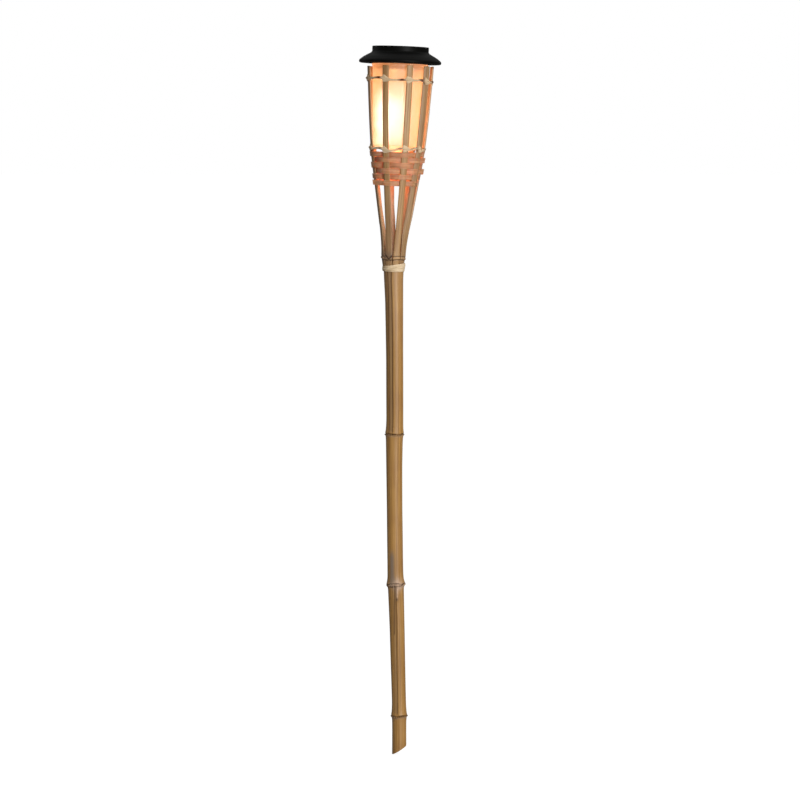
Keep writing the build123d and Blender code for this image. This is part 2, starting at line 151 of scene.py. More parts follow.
def soft_light(name, place, aim, width, tall, power):
    """An area light at a place, turned to shine at the aim."""
    lamp = bpy.data.lights.new(name, "AREA")
    lamp.shape, lamp.size, lamp.size_y, lamp.energy = "RECTANGLE", width, tall, power
    lamp_object = bpy.data.objects.new(name, lamp)
    lamp_object.location = place
    lamp_object.rotation_euler = (Vector(aim) - Vector(place)).to_track_quat("-Z", "Y").to_euler()
    bpy.context.scene.collection.objects.link(lamp_object)


torch_middle = (0, 0, (cad_box[0].z + cad_box[1].z) / 2)
soft_light("key_light", place=(1.1, -2.2, 0.9), aim=torch_middle, width=0.5, tall=1.9, power=54)
soft_light("side_light", place=(-2.3, 1.3, 1.3), aim=torch_middle, width=0.9, tall=1.8, power=3)

camera = bpy.data.objects.new("camera", bpy.data.cameras.new("camera"))
camera_side, camera_distance, camera_height, aim_height = 1.1, 3653.0, 841.0, 475.7
camera_aim = Vector((camera_side, 0.0, aim_height)) * mm
camera.location = Vector((camera_side, -camera_distance, camera_height)) * mm
camera.rotation_euler = (camera_aim - camera.location).to_track_quat("-Z", "Y").to_euler()
camera.data.lens = 117.6
camera.data.sensor_width = 36.0
bpy.context.scene.collection.objects.link(camera)
bpy.context.scene.camera = camera

# ---------------------------------------------------------------- cane
# The pole is one bamboo cane: a waxy golden skin over a hollow stem, with a ringed scar at each joint and a
# shallow groove above the joints that once carried a branch. Its foot is sawn off at a slant.


def skin_mesh(name, points, grain, marks, closed_rows=False):
    """A closed mesh on a grid of points, whose columns run round the piece and whose rows run along it.

    Cell (i, j) is the quad between rows i, i + 1 and columns j, j + 1, and the columns wrap. The rows wrap
    too if closed_rows, or else each end row is closed by a fan to its mean point. grain holds straightened
    coordinates for the pattern, in metres, and marks three masks from 0 to 1.
    """
    rows, columns = points.shape[:2]
    index = np.arange(rows * columns).reshape(rows, columns)
    index = np.hstack([index, index[:, :1]])
    if closed_rows:
        index = np.vstack([index, index[:1]])
    quads = np.stack([index[:-1, :-1], index[:-1, 1:], index[1:, 1:], index[1:, :-1]], -1).reshape(-1, 4)
    vertices = points.reshape(-1, 3)
    layers = [grain.reshape(-1, 3), marks.reshape(-1, 3)]
    fans = np.zeros((0, 3), int)
    if not closed_rows:
        hubs = [points[0].mean(0), points[-1].mean(0)]
        layers = [np.vstack([layer, layer[0], layer[-1]]) for layer in layers]
        first, last = len(vertices), len(vertices) + 1
        vertices = np.vstack([vertices, hubs])
        low = np.stack([np.full(columns, first), index[0, 1:], index[0, :-1]], -1)
        high = np.stack([np.full(columns, last), index[-1, :-1], index[-1, 1:]], -1)
        fans = np.vstack([low, high])
    triangles = np.vstack([quads[:, [0, 1, 2]], quads[:, [0, 2, 3]], fans])
    a, b, c = (vertices[triangles[:, k]] for k in range(3))
    if (np.cross(a, b) * c).sum() < 0:
        quads, fans = quads[:, ::-1], fans[:, ::-1]
    mesh = bpy.data.meshes.new(name)
    mesh.from_pydata(vertices.tolist(), [], quads.tolist() + fans.tolist())
    for layer, values in zip(("grain", "marks"), layers):
        mesh.attributes.new(layer, "FLOAT_VECTOR", "POINT").data.foreach_set("vector", values.ravel())
    mesh.shade_smooth()
    mesh.set_sharp_from_angle(angle=radians(50))
    piece = bpy.data.objects.new(name, mesh)
    bpy.context.scene.collection.objects.link(piece)
    return piece


def bump_at(value, centre, width):
    """A smooth hump of height 1 at the centre: exp(-((value - centre) / width) squared)."""
    return np.exp(-(((value - centre) / width) ** 2))


def signed_turn(turn):
    """An angle brought between minus and plus half a turn."""
    return (turn + pi) % (2 * pi) - pi


# The CAD cane's own rings give its crooked centreline and its radius. Its slanted foot and the rings that are
# too sparse to be skin are left out, and so is each joint's own ring when the radius is taken.
lowest_ring, highest_ring, fewest_points = -17 * mm, 650 * mm, 30
joint_rise, joint_reach = 3 * mm, 10 * mm
cane_points = np.array([v.co for v in frame["nodes"]["culm"].data.vertices])
ring_heights = np.unique(cane_points[:, 2].round(5))
rings = []
for ring_height in ring_heights:
    ring = cane_points[np.abs(cane_points[:, 2] - ring_height) < 5e-6]
    if len(ring) > fewest_points and lowest_ring < ring_height < highest_ring:
        low, high = ring.min(0), ring.max(0)
        rings.append((ring_height, *(low + high)[:2] / 2, (high - low)[1] / 2))
rings = np.array(rings)
joint_heights = np.array([24.7, 213.3, 426.9]) * mm
clear = np.abs(rings[:, :1] - joint_heights - joint_rise).min(1) > joint_reach

# The head leans from the cane. Its axes are those of the joints, and the neck lies below the door's hinge.
hinge_height, hinge_setback = 263.5 * mm, 3.4 * mm
hinge = next(j for j in frame["joints"] if j["name"] == "battery_door_hinge")
head_up = np.array(next(j for j in frame["joints"] if j["name"] == "lantern_lift")["axis"])
head_right = np.array(next(j for j in frame["joints"] if j["name"] == "power_switch")["axis"])
head_back = np.array([0.0, 1.0, 0.0])
neck = np.array(hinge["pos_m"]) - hinge_height * head_up - hinge_setback * head_back
neck_radius, binding_top, neck_shift = 14.2 * mm, -8.0 * mm, 0.5 * mm


def spread(values, reach):
    """The values averaged over a bell-shaped window of that many neighbours each way, with the ends held."""
    padded = np.pad(values, reach, mode="edge")
    bell = np.hanning(2 * reach + 3)
    return np.convolve(padded, bell[1:-1] / bell.sum(), "valid")


def cane_line(heights):
    """Centre x, centre y and radius of the cane at heights: the CAD cane's own rings, a little smoothed."""
    fine = np.arange(-40, 700) * mm
    top = neck[2] + binding_top
    x = np.interp(fine, [*rings[:, 0], top], [*rings[:, 1], neck[0] + neck_shift])
    y = np.interp(fine, [*rings[:, 0], top], [*rings[:, 2], 0.0])
    r = np.interp(fine, [*rings[clear, 0], top], [*rings[clear, 3], neck_radius])
    return [np.interp(heights, fine, spread(column, 7)) for column in (x, y, r)]


cane_columns = 120
turn = np.arange(cane_columns) * 2 * pi / cane_columns
row_step, fine_step = 3.5, 0.5  # millimetres between rows, along the cane and at its joints
fine_rows = [joint + np.arange(-9, 13, fine_step) * mm for joint in joint_heights]
skin_heights = np.unique(np.concatenate([np.arange(-6, 664, row_step) * mm, *fine_rows]).round(5))
cut_low, cut_high, cut_radius = -30.7 * mm, -18.0 * mm, 9.6 * mm
cut_heights = cut_high + (cut_high - cut_low) * (np.sin(turn) - 1) / 2
foot_share = np.linspace(0, 1, 12)[:-1, None]
foot_rows = cut_heights + (skin_heights[0] - 0.5 * mm - cut_heights) * foot_share
height_grid = np.vstack([foot_rows, np.repeat(skin_heights[:, None], cane_columns, 1)])
turn_grid = np.repeat(turn[None], len(height_grid), 0)
centre_x, centre_y, radius_grid = cane_line(height_grid)

# The relief stands out from the smooth skin, in metres, and three masks from 0 to 1 colour it: dark (scars,
# stains and a painted shade along the grooves' edges), weathered and pale. A branch groove is (from joint, to
# joint, azimuth at its foot, azimuth at its head, half width).
grooves = [(-1, 0, 160, 160, 15), (0, 1, -26, -11, 15), (1, 2, 165, 165, 15), (2, 3, -26, -26, 14)]
joint_ends = np.append(joint_heights, [1.0, -1.0])
relief = 0.08 * mm * np.sin(2 * turn_grid + 11 * height_grid / 0.3)
dark = np.zeros_like(relief)
weathered = np.zeros_like(relief)
pale = np.zeros_like(relief)
rng = np.random.default_rng(7)
# A joint is a sharp lip over a flare that fades downwards (exp) and a swelling above it, round a dark scar.
for joint, joint_height in enumerate(joint_heights):
    wave = 0.45 * np.sin(turn_grid + joint) + 0.3 * np.sin(3 * turn_grid + 2 * joint)
    wave += 0.15 * np.sin(7 * turn_grid)
    rise = (height_grid - joint_height) / mm - wave * (2.2 if joint == 1 else 1.0)
    uneven = 1 + 0.15 * np.sin(9 * turn_grid + joint) + 0.25 * (joint == 1) * np.sin(5 * turn_grid)
    lip = 1.1 * bump_at(rise, 0, 2.0 if joint == 1 else 1.1) * uneven
    below = 1.2 * np.exp(np.minimum(rise, 0) / 4.0) * (rise < 0) + 1.2 * bump_at(rise, 0, 1.2) * (rise >= 0)
    above = 0.75 * np.exp(-np.maximum(rise - 1.5, 0) / 6.0) * (1 + np.tanh(2 * (rise - 1.3)))
    relief += mm * (lip + np.maximum(below, above) - 0.35 * bump_at(rise, 1.15, 0.45))
    roots = 0.5 + 0.5 * np.sin(31 * turn_grid + 4 * np.sin(3 * turn_grid))
    ragged = 0.65 + 0.35 * np.sin(5 * turn_grid + 1.3 * joint)
    dark += 1.2 * ragged * bump_at(rise, 1.5, 0.7) + 0.35 * roots * bump_at(rise, -2.2, 0.7)
    dark += 1.2 * (0.6 + 0.4 * np.sin(23 * turn_grid)) * bump_at(rise, 0.3, 0.7) * (joint != 1)
    pale += 0.2 * bump_at(rise, -0.8, 0.9) + 0.45 * (1 - roots) * bump_at(rise, -2.0, 1.6)
# A groove is a flat-bottomed trough, exp(-aside^4), with painted shade along its edges and a grey floor.
for low_joint, high_joint, foot_azimuth, head_azimuth, half_width in grooves:
    start, end = joint_ends[low_joint], joint_ends[high_joint]
    inside = 1 / (1 + np.exp(-(height_grid - start - 3 * mm) / mm)) / (1 + np.exp((height_grid - end) / mm))
    climb = np.clip((height_grid - start) / (end - start), 0, 1)
    azimuth = np.radians(foot_azimuth + (head_azimuth - foot_azimuth) * climb)
    aside = signed_turn(turn_grid - azimuth) / radians(half_width)
    share = inside * np.clip(1.15 - 0.5 * climb, 0.3, 1)
    relief -= 0.75 * mm * share * np.exp(-(aside**4))
    wander = 0.08 * np.sin(height_grid / 0.021) + 0.05 * np.sin(height_grid / 0.008)
    strong = inside * (1.15 if low_joint == 2 else 0.85)
    # Painted shade: dark lines along both edges of the groove.
    dark += strong * (0.8 * bump_at(aside, 0.85 + wander, 0.25) + 0.7 * bump_at(aside, -0.9 - wander, 0.25))
    weathered += 0.35 * strong * share * np.exp(-(aside**4))

# The second joint lost a branch: a long bud scar points down from it, with a grey weathered patch above.
rise = (height_grid - joint_heights[1]) / mm
bud_side = signed_turn(turn_grid - radians(8)) - 0.004 * rise
bud = bump_at(bud_side, 0, 0.17) * (rise < 0) * (rise > -23) * np.clip(1.2 + rise / 26, 0, 1)
knot = bump_at(bud_side, 0.06, 0.13) * bump_at(rise, -20, 1.6)
relief += mm * (0.75 * bud + 0.9 * knot + 0.5 * bump_at(rise, 2, 5) * np.sin(4 * turn_grid + 1))
dark += 0.8 * bump_at(bud_side, -0.27, 0.08) * (rise < 0) * (rise > -70) + 0.8 * knot
dark += 0.7 * bump_at(rise, -2.5, 1.0) * bump_at(signed_turn(turn_grid + 0.55), 0, 0.35)
pale += 0.9 * bud + 0.9 * bump_at(rise, 1, 8) * bump_at(signed_turn(turn_grid - 0.3), 0, 0.7)
pale += 0.5 * bump_at(rise, -1, 4) * (0.6 + 0.4 * np.sin(13 * turn_grid + 2 * np.sin(5 * turn_grid)))
flecks = np.sin(17 * turn_grid + 1.5 * rise) * np.sin(6 * turn_grid - rise)
dark += 0.5 * bump_at(rise, 0, 4) * np.clip(flecks, 0, 1)
right_side, left_side = signed_turn(turn_grid - 0.8), signed_turn(turn_grid + 1.2)
dark += 0.9 * bump_at(rise - 0.5 - 3.5 * right_side, 0, 0.9) * bump_at(right_side, 0, 0.4)
dark += 0.8 * bump_at(rise, -1.5, 2.2) * bump_at(left_side, 0, 0.3)
patch = 1.3 * bump_at(signed_turn(turn_grid + 0.42), 0, 0.3) * (rise > -2) * np.clip((52 - rise) / 12, 0, 1)
weathered += 0.9 * patch + 0.7 * bump_at(rise, 3, 8) * bump_at(signed_turn(turn_grid + 0.2), 0, 0.5)

# The cane pales towards the neck, and a broad brown stain runs up the left of its top length.
pale += 0.12 * np.clip((height_grid - 540 * mm) / (110 * mm), 0, 1)
stain = bump_at(signed_turn(turn_grid + radians(49)) + 0.06 * np.sin(height_grid / 0.035), 0, 0.19)
dark += 0.36 * stain * np.clip((height_grid - joint_heights[2]) / (60 * mm), 0, 1)

skin_radius = radius_grid + relief


def cane_grid(radius, heights):
    """Points at a radius round the crooked centreline: x = cx + r sin(turn), y = cy - r cos(turn)."""
    x, y = centre_x + radius * np.sin(turn_grid), centre_y - radius * np.cos(turn_grid)
    return np.stack([x, y, heights], -1)


skin = cane_grid(skin_radius, height_grid)
# Inside, the bore behind the slanted cut runs up to the first closed wall. Each of its rings is (share of the
# way up, share of its radius). Above, the cane closes in a plug under the staves: (radius, height) in mm.
bore_radius, bore_top = 6.2 * mm, 21.7 * mm
bore = []
for share, shrink in ((1.0, 0.4), (1.0, 0.97), (0.97, 1.0), (0.5, 1.0), (0.0, 1.0)):
    bore_heights = cut_heights + (bore_top - cut_heights) * share
    bore_x, bore_y = shrink * bore_radius * np.sin(turn), -shrink * bore_radius * np.cos(turn)
    if share == 0.0:
        bore_heights = cut_high + (cut_high - cut_low) * (bore_x / cut_radius - 1) / 2
    bore.append(np.stack([bore_x, bore_y, bore_heights], -1))


def on_head(turn, radius, height):
    """The point at a turn, a radius and a height: neck + radius (sin turn right - cos turn back) + height up.

    The turn is measured from the front, positive to the right, and the height along the head's axis.
    """
    out = np.multiply.outer(np.sin(turn), head_right) - np.multiply.outer(np.cos(turn), head_back)
    return neck + np.expand_dims(radius, -1) * out + np.multiply.outer(height, head_up)


plug = []
for radius, height in ((13.9, -7.4), (12.2, -7.0), (12.0, 3.4), (11.0, 4.2), (6.0, 3.4)):
    plug.append(on_head(turn, np.full(cane_columns, radius * mm), np.full(cane_columns, height * mm)))
cane_all = np.concatenate([bore, skin, plug])
grain_radius = 11  # millimetres: the cane's mean radius, on which its pattern is laid
straight = [np.sin(turn_grid) * grain_radius * mm, np.cos(turn_grid) * grain_radius * mm, height_grid]
straight = np.stack(straight, -1)
masks = np.clip(np.stack([dark, weathered, pale], -1), 0, 1)
pad = [(len(bore), len(plug)), (0, 0), (0, 0)]
cane = skin_mesh("cane", cane_all, np.pad(straight, pad, mode="edge"), np.pad(masks, pad, mode="edge"))


def finish(name, **shader):
    """A Principled material with its plain sockets set; returns the material, its tree and its shader."""
    made = bpy.data.materials.new(name)
    made.use_nodes = True
    body = made.node_tree.nodes["Principled BSDF"]
    for socket, value in shader.items():
        body.inputs[socket.replace("_", " ")].default_value = value
    return made, made.node_tree, body


def carried(tree):
    """The straightened coordinates that a piece's mesh carries, and its three masks as X, Y and Z."""
    grain = add(tree, "Attribute", attribute_name="grain").outputs["Vector"]
    marks = add(tree, "Attribute", attribute_name="marks").outputs["Vector"]
    return grain, add(tree, "SeparateXYZ", {0: marks}).outputs


def drawn_out(tree, vector, scale, detail, rough=0.5):
    """Noise drawn out along a fibre: scale says how many of its cells go to a metre, each way."""
    place = add(tree, "Mapping", {"Vector": vector, "Scale": scale}).outputs[0]
    cells = {"Vector": place, "Scale": 1.0, "Detail": detail, "Roughness": rough}
    return add(tree, "TexNoise", cells).outputs["Fac"]


def laid_over(tree, colour, *layers):
    """A colour with others laid over it in turn, each where its own mask is 1."""
    for mask, over in layers:
        over = linear(over) if isinstance(over, str) else over
        colour = add(tree, "Mix", {0: mask, 6: colour, 7: over}, data_type="RGBA").outputs[2]
    return colour


def roughened(tree, shader, pattern, depth, strength=0.5):
    """Fine relief on a surface: a pattern from 0 to 1, raised to a depth."""
    raised = add(tree, "Bump", {"Height": pattern, "Distance": depth, "Strength": strength})
    tree.links.new(raised.outputs[0], shader.inputs["Normal"])


# Bamboo skin is waxy and satin, and weather dulls it. It gives the eye fine streaks of long fibre, wide brown
# bands, grey patches and a soft sheen along the side that faces the light.
cane_skin, tree, shader = finish("bamboo_cane_skin", Roughness=0.42)
streak_width, streak_length, fibre_width = 1.9 * mm, 130 * mm, 0.35 * mm
grain, masks = carried(tree)
streaks = drawn_out(tree, grain, (1 / streak_width, 1 / streak_width, 1 / streak_length), 3.0, 0.6)
fibres = drawn_out(tree, grain, (1 / fibre_width, 1 / fibre_width, 30.0), 2.0)
blotch_size = 28 * mm
blotches = add(tree, "TexNoise", {"Vector": grain, "Scale": 1 / blotch_size, "Detail": 3.0})
golden = [(0.30, "#8a5f2c"), (0.46, "#aa7d40"), (0.60, "#ba8c4d"), (0.78, "#c89f66")]
tan = add(tree, "ValToRGB", {"Fac": streaks}, stops=golden)
bands = {"Value": blotches.outputs["Fac"], "From Min": 0.42, "From Max": 0.7, "To Max": 0.35}
aged = add(tree, "MapRange", bands)
fine = add(tree, "MapRange", {"Value": fibres, "From Min": 0.3, "From Max": 0.7, "To Max": 0.22})
# Mask X in near-black brown: the scars and stains, and the painted shade along the grooves' edges.
deep = add(tree, "Math", {0: masks["X"], 1: 0.9}, operation="MULTIPLY")
stain_and_shade = laid_over(
    tree,
    tan.outputs[0],
    (aged.outputs[0], "#94673a"),
    (fine.outputs[0], "#7b5a33"),
    (masks["Y"], "#85705c"),
    (masks["Z"], "#c9a88c"),
    (deep.outputs[0], "#40270f"),
)
tree.links.new(stain_and_shade, shader.inputs["Base Color"])
rough = add(tree, "MapRange", {"Value": streaks, "To Min": 0.55, "To Max": 0.38})
tree.links.new(rough.outputs[0], shader.inputs["Roughness"])
roughened(tree, shader, fibres, 0.05 * mm)
cane.data.materials.append(cane_skin)
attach(cane, "pole")
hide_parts("culm")

# ---------------------------------------------------------------- staves
# Above the neck joint the same cane is split into eight staves and spread by the weaving. Each keeps the skin
# on its rounded outside, and shows pale pith on its sides and inside.

stave_angles = np.radians([-72, -25, 18, 56, 98, 145, 193, 242])
# Heights above the neck, and how far out the staves' skin stands there, in millimetres.
stave_keys = [-14, -8, -2, 2, 12, 20, 28, 42, 56, 70, 84, 98, 112, 132, 150, 167, 195, 222, 242, 268.5]
stave_reach = [14.1, 14.5, 15.6, 16.6, 17.1, 17.6, 18.4, 20.1, 22.4, 24.7, 27.0, 29.3, 31.6, 34.7, 37.6]
stave_reach += [39.4, 41.8, 43.7, 45.0, 46.6]
stave_keys, stave_reach = np.array(stave_keys) * mm, np.array(stave_reach) * mm
stave_height = 268.5  # millimetres


def stave_outside(heights):
    """Outer radius of the staves at heights above the neck, before the joint's ring is added."""
    fine = np.arange(-20, 280) * mm
    return np.interp(heights, fine, spread(np.interp(fine, stave_keys, stave_reach), 4))


def rounded_outline(columns, power):
    """A rounded rectangle within -1..1: even steps along the superellipse |x|^power + |y|^power = 1."""
    round_it = np.linspace(0, 2 * pi, 3601)
    across, out = np.cos(round_it), np.sin(round_it)
    across, out = (np.sign(value) * np.abs(value) ** (2 / power) for value in (across, out))
    run = np.concatenate([[0], np.cumsum(np.hypot(np.diff(across), np.diff(out)))])
    even = np.arange(columns) * run[-1] / columns
    return np.interp(even, run, across), np.interp(even, run, out)


# Split bamboo keeps its satin skin outside and is dry, pale pith on its split faces. It gives the eye fine
# streaks along each stave, a light edge, and near-black lines where the joint's ring was.
split_skin, tree, shader = finish("split_bamboo", Roughness=0.5)
grain, masks = carried(tree)
streaks = drawn_out(tree, grain, (1 / streak_width, 1 / streak_width, 14.0), 3.0, 0.6)
fibres = drawn_out(tree, grain, (1 / fibre_width, 1 / fibre_width, 40.0), 2.0)
skin_stops = [(0.30, "#8f673c"), (0.46, "#aa8050"), (0.60, "#bb9463"), (0.78, "#c9a87a")]
tan = add(tree, "ValToRGB", {"Fac": streaks}, stops=skin_stops)
pith = add(tree, "ValToRGB", {"Fac": streaks}, stops=[(0.35, "#d0a070"), (0.7, "#eecb9e")])
fine = add(tree, "MapRange", {"Value": fibres, "From Min": 0.3, "From Max": 0.7, "To Max": 0.2})
stain_and_shade = laid_over(
    tree,
    tan.outputs[0],
    (masks["Y"], pith.outputs[0]),
    (masks["Z"], "#7b6250"),
    (fine.outputs[0], "#7b5a33"),
    (masks["X"], "#3b2512"),
)
tree.links.new(stain_and_shade, shader.inputs["Base Color"])
roughened(tree, shader, fibres, 0.06 * mm, 0.6)

split_edges = (stave_angles + np.append(stave_angles[1:], stave_angles[0] + 2 * pi)) / 2
stave_columns = 56
across, depth = rounded_outline(stave_columns, 7)
stave_rows = [np.arange(-11, 12, 0.5), np.arange(12, 266, 3.0), [267.4, 268.2, stave_height]]
stave_rows = np.concatenate(stave_rows) * mm
stave_tops = np.array([267.8, 269.0, 269.8, 269.8, 270.2, 268.8, 269.4, 268.4]) * mm
tones = [0.35, 0.35, 0.0, 0.3, 0.25, 0.1, 0.3, 0.05]  # how greyed each stave's skin is
twists = [0, 4, 0, -34, 22, 0, 0, 0]  # degrees that each turns about its own length
aside = np.radians([0, 0, 0, -2.0, 0, 1.5, 0, 0])  # how far its top stands from its even place
leave_low = [8, 6, 6, 6, 12, 22, 24, 22]  # millimetres above the neck where it leaves its neighbours
leave_high = [50, 44, 44, 44, 55, 78, 80, 78]  # and where it is quite free of them
stretch_from = 200  # millimetres above the neck, from where the staves' uneven lengths are taken up
for number, angle in enumerate(stave_angles):
    left = split_edges[number - 1] - (2 * pi if number == 0 else 0)
    right = split_edges[number]
    wander = rng.uniform(-1, 1, 6)
    stretch = np.clip(stave_rows / mm - stretch_from, 0, stave_height - stretch_from)
    tall = stave_rows + (stave_tops[number] - stave_height * mm) * stretch / (stave_height - stretch_from)
    outside = stave_outside(tall) + 0.25 * mm * wander[1] * np.sin(tall / 0.04) * (tall > 0.05)
    leaves = np.clip((tall / mm - leave_low[number]) / (leave_high[number] - leave_low[number]), 0, 1)
    leaves = leaves * leaves * (3 - 2 * leaves)
    centre = (1 - leaves) * (left + right) / 2 + leaves * (angle + aside[number])
    centre += radians(0.9) * wander[2] * np.sin(tall / 0.05) * leaves
    split_gap = np.interp(tall, np.array([-11, 4, 16]) * mm, np.array([0.45, 0.55, 1.5]) * mm)
    foot_half = (right - left) / 2 * outside - split_gap
    top_half = (4.7 + 0.2 * wander[3] + 0.2 * np.sin(tall / 0.033 + 3 * wander[4])) * mm
    top_half += 0.2 * mm * np.clip((tall - 150 * mm) / (100 * mm), 0, 1)
    half = (1 - leaves) * foot_half + leaves * top_half
    thick = np.interp(tall, np.array([-11, -2, 8, 40, 268]) * mm, np.array([1.3, 1.6, 2.9, 2.6, 2.3]) * mm)
    edge = np.interp(stave_rows, np.array([-11, 267.4, 268.2, stave_height]) * mm, [1, 1, 0.93, 0.8])
    # The skin keeps the cane's own curve: each point turns about a centre one cane radius behind the skin.
    curve = stave_outside(0.0)
    side = np.multiply.outer(half * edge, across)
    deep = np.multiply.outer(thick / 2, 1 - depth * edge[0])
    ring_rise = (tall[:, None] / mm - 3.0) - 0.7 * np.sin(3 * (centre[:, None] + side / curve))
    outer_side = np.clip(depth, 0, 1) ** 0.5
    ring = 1.15 * bump_at(ring_rise, 0, 1.0)
    ring -= 0.3 * bump_at(ring_rise, 2.5, 0.6)
    ring -= 0.3 * bump_at(ring_rise, -2.3, 0.6)
    ring += 0.35 * np.exp(-np.abs(ring_rise - 3.5) / 6) * (ring_rise > 1)
    about = curve + ring * mm * outer_side - deep
    local_out, local_side = about * np.cos(side / curve) - curve, about * np.sin(side / curve)
    twist_shares = np.multiply([0, 1, 0.8, 0.6], twists[number])
    twist = np.radians(np.interp(tall, np.array([8, 60, 130, 268]) * mm, twist_shares))
    out = outside[:, None] + local_out * np.cos(twist)[:, None] - local_side * np.sin(twist)[:, None]
    sideways = local_side * np.cos(twist)[:, None] + local_out * np.sin(twist)[:, None]
    radius = np.hypot(out, sideways)
    upright = np.repeat(tall[:, None], stave_columns, 1)
    points = on_head(centre[:, None] + np.arctan2(sideways, out), radius, upright)
    coordinates = np.stack([side + 0.05 * number, deep, upright], -1)
    spots = 0.85 + 0.4 * np.sin(2.1 * side / mm + 2 * number)
    lines = (1.1 * bump_at(ring_rise, 2.6, 0.6) + 1.1 * bump_at(ring_rise, -2.2, 0.65)) * outer_side * spots
    if number == 1:
        # A bud scar: a V whose arms climb from the ring.
        from_scar = np.abs(side / mm - 1.2)
        arms = tall[:, None] / mm - 2.0 - 1.1 * from_scar
        lines = outer_side * (lines * (from_scar > 1.0) * (ring_rise < 0.5))
        lines += outer_side * 1.8 * bump_at(arms, 0, 1.1) * (tall[:, None] < 8.5 * mm)
    inner = np.repeat(np.clip(1 - 2.2 * (depth + 0.25), 0, 1)[None], len(tall), 0)
    inner += 0.5 * bump_at(ring_rise, 0.2, 1.3) * outer_side * (number != 1)
    fade = 1 - 0.9 * (number == 1) * np.clip((tall[:, None] / mm - 60) / 80, 0, 1)
    tone = tones[number] * fade + 0.5 * bump_at(tall[:, None] / mm, 7, 6) * outer_side * (number < 2)
    marks = np.clip(np.stack([lines, inner, tone], -1), 0, 1)
    stave = skin_mesh(f"split_stave_{number + 1}", points, coordinates, marks)
    stave.data.materials.append(split_skin)
    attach(stave, "pole")
    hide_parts(f"stave_{number + 1}")

# ---------------------------------------------------------------- woven strips
# Six flat strips of rattan peel are woven through the staves, each in front of every second one. They are
# about 7 mm wide and 1 mm thick, and their ends are left standing out at the side.

# Rattan peel is a thin, dull slice of fibre that lets light through. It gives the eye streaks along the strip
# and a warm red-orange glow where the lantern is behind it.
rattan, tree, shader = finish(
    "rattan_peel",
    Roughness=0.62,
    Subsurface_Weight=0.6,
    Subsurface_Scale=1.6 * mm,
    Subsurface_Radius=(1.0, 0.42, 0.16),
)
grain = add(tree, "Attribute", attribute_name="grain").outputs["Vector"]
streaks = drawn_out(tree, grain, (18.0, 1 / mm, 1.1 / mm), 3.0, 0.6)
peel = [(0.30, "#a06c48"), (0.5, "#c98f65"), (0.75, "#e0b08a")]
tan = add(tree, "ValToRGB", {"Fac": streaks}, stops=peel)
blotches = add(tree, "TexNoise", {"Vector": grain, "Scale": 70.0, "Detail": 2.0})
bands = {"Value": blotches.outputs["Fac"], "From Min": 0.4, "From Max": 0.7, "To Max": 0.4}
aged = add(tree, "MapRange", bands)
stain_and_shade = laid_over(tree, tan.outputs[0], (aged.outputs[0], "#99623d"))
tree.links.new(stain_and_shade, shader.inputs["Base Color"])
roughened(tree, shader, streaks, 0.12 * mm, 0.6)

strip_thick, strip_columns = 1.0 * mm, 20
strip_levels = np.array([147.0, 139.9, 131.9, 124.1, 116.4, 107.2]) * mm
strip_talls = np.array([6.9, 7.2, 8.3, 7.7, 7.3, 7.3]) * mm
across, depth = rounded_outline(strip_columns, 6)
weave_low, weave_high = 104 * mm, 150 * mm
slope = np.arctan2(stave_outside(weave_high) - stave_outside(weave_low), weave_high - weave_low)


def weave_reach(turns, height, parity, room, thick):
    """Radius of a strand woven through the staves: outside every second stave, inside the others.

    It is held level across each stave and runs over smoothly between them, by averaging a stepped path.
    """
    half_stave, stave_depth = 5.2 * mm, 2.6 * mm
    fine = np.radians(np.arange(-720, 1081))
    outside = stave_outside(height)
    staves = np.concatenate([stave_angles + lap * 2 * pi for lap in (-2, -1, 0, 1, 2)])
    over = np.tile(np.arange(8) % 2 == parity, 5)
    hold = np.arcsin(half_stave / outside)
    keys = np.stack([staves - hold, staves + hold], -1).ravel()
    level = np.where(over, room + thick / 2, -stave_depth - room - thick / 2)
    path = np.interp(fine, keys, np.repeat(level, 2))
    return outside + np.interp(turns, fine, spread(path, 5))


